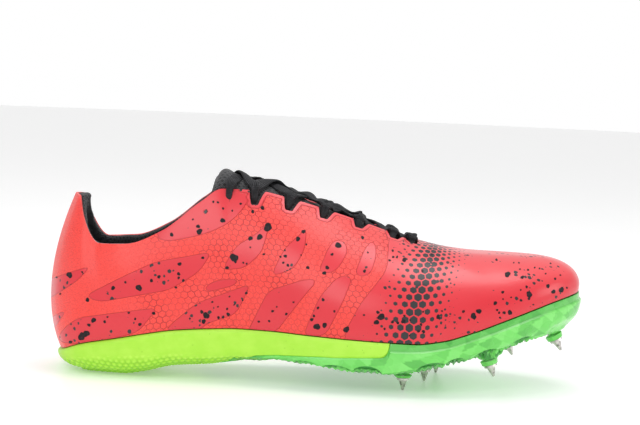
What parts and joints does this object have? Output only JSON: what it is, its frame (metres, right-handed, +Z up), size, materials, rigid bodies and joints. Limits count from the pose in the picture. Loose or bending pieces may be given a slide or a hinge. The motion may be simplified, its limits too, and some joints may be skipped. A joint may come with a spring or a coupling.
{
  "type": "track spike shoe",
  "caption": "Low-cut right-foot track spike shoe with a thin hollow red upper, laced throat, volt foam heel, green spike plate and steel pyramid spikes.",
  "frame": {"origin": "middle of the heel's flat spot on the ground plane", "axes": "+X from heel to toe, -Y towards the outer (lateral) side, +Z up from the ground"},
  "size_m": [0.2789, 0.0958, 0.1081],
  "materials": {
    "upper_film": "satin",
    "black_mesh": "matte",
    "lace_weave": "matte",
    "foam": "satin",
    "plate_tpu": "gloss",
    "spike_steel": "polished"
  },
  "bodies": {
    "root": {"upper": "upper_film", "collar_lining": "black_mesh", "tongue": "black_mesh", "insole": "black_mesh", "midsole": "foam", "spike_plate": "plate_tpu", "lace_cross_1": "lace_weave", "lace_cross_2": "lace_weave", "lace_cross_3": "lace_weave", "lace_cross_4": "lace_weave", "lace_cross_5": "lace_weave", "spike_toe_lateral": "spike_steel", "spike_toe_medial": "spike_steel", "spike_second_lateral": "spike_steel", "spike_second_medial": "spike_steel", "spike_ball_lateral": "spike_steel", "spike_ball_centre": "spike_steel", "spike_ball_medial": "spike_steel", "spike_seat_toe_lateral": "plate_tpu", "spike_seat_toe_medial": "plate_tpu", "spike_seat_second_lateral": "plate_tpu", "spike_seat_second_medial": "plate_tpu", "spike_seat_ball_lateral": "plate_tpu", "spike_seat_ball_centre": "plate_tpu", "spike_seat_ball_medial": "plate_tpu"}
  },
  "joints": []
}
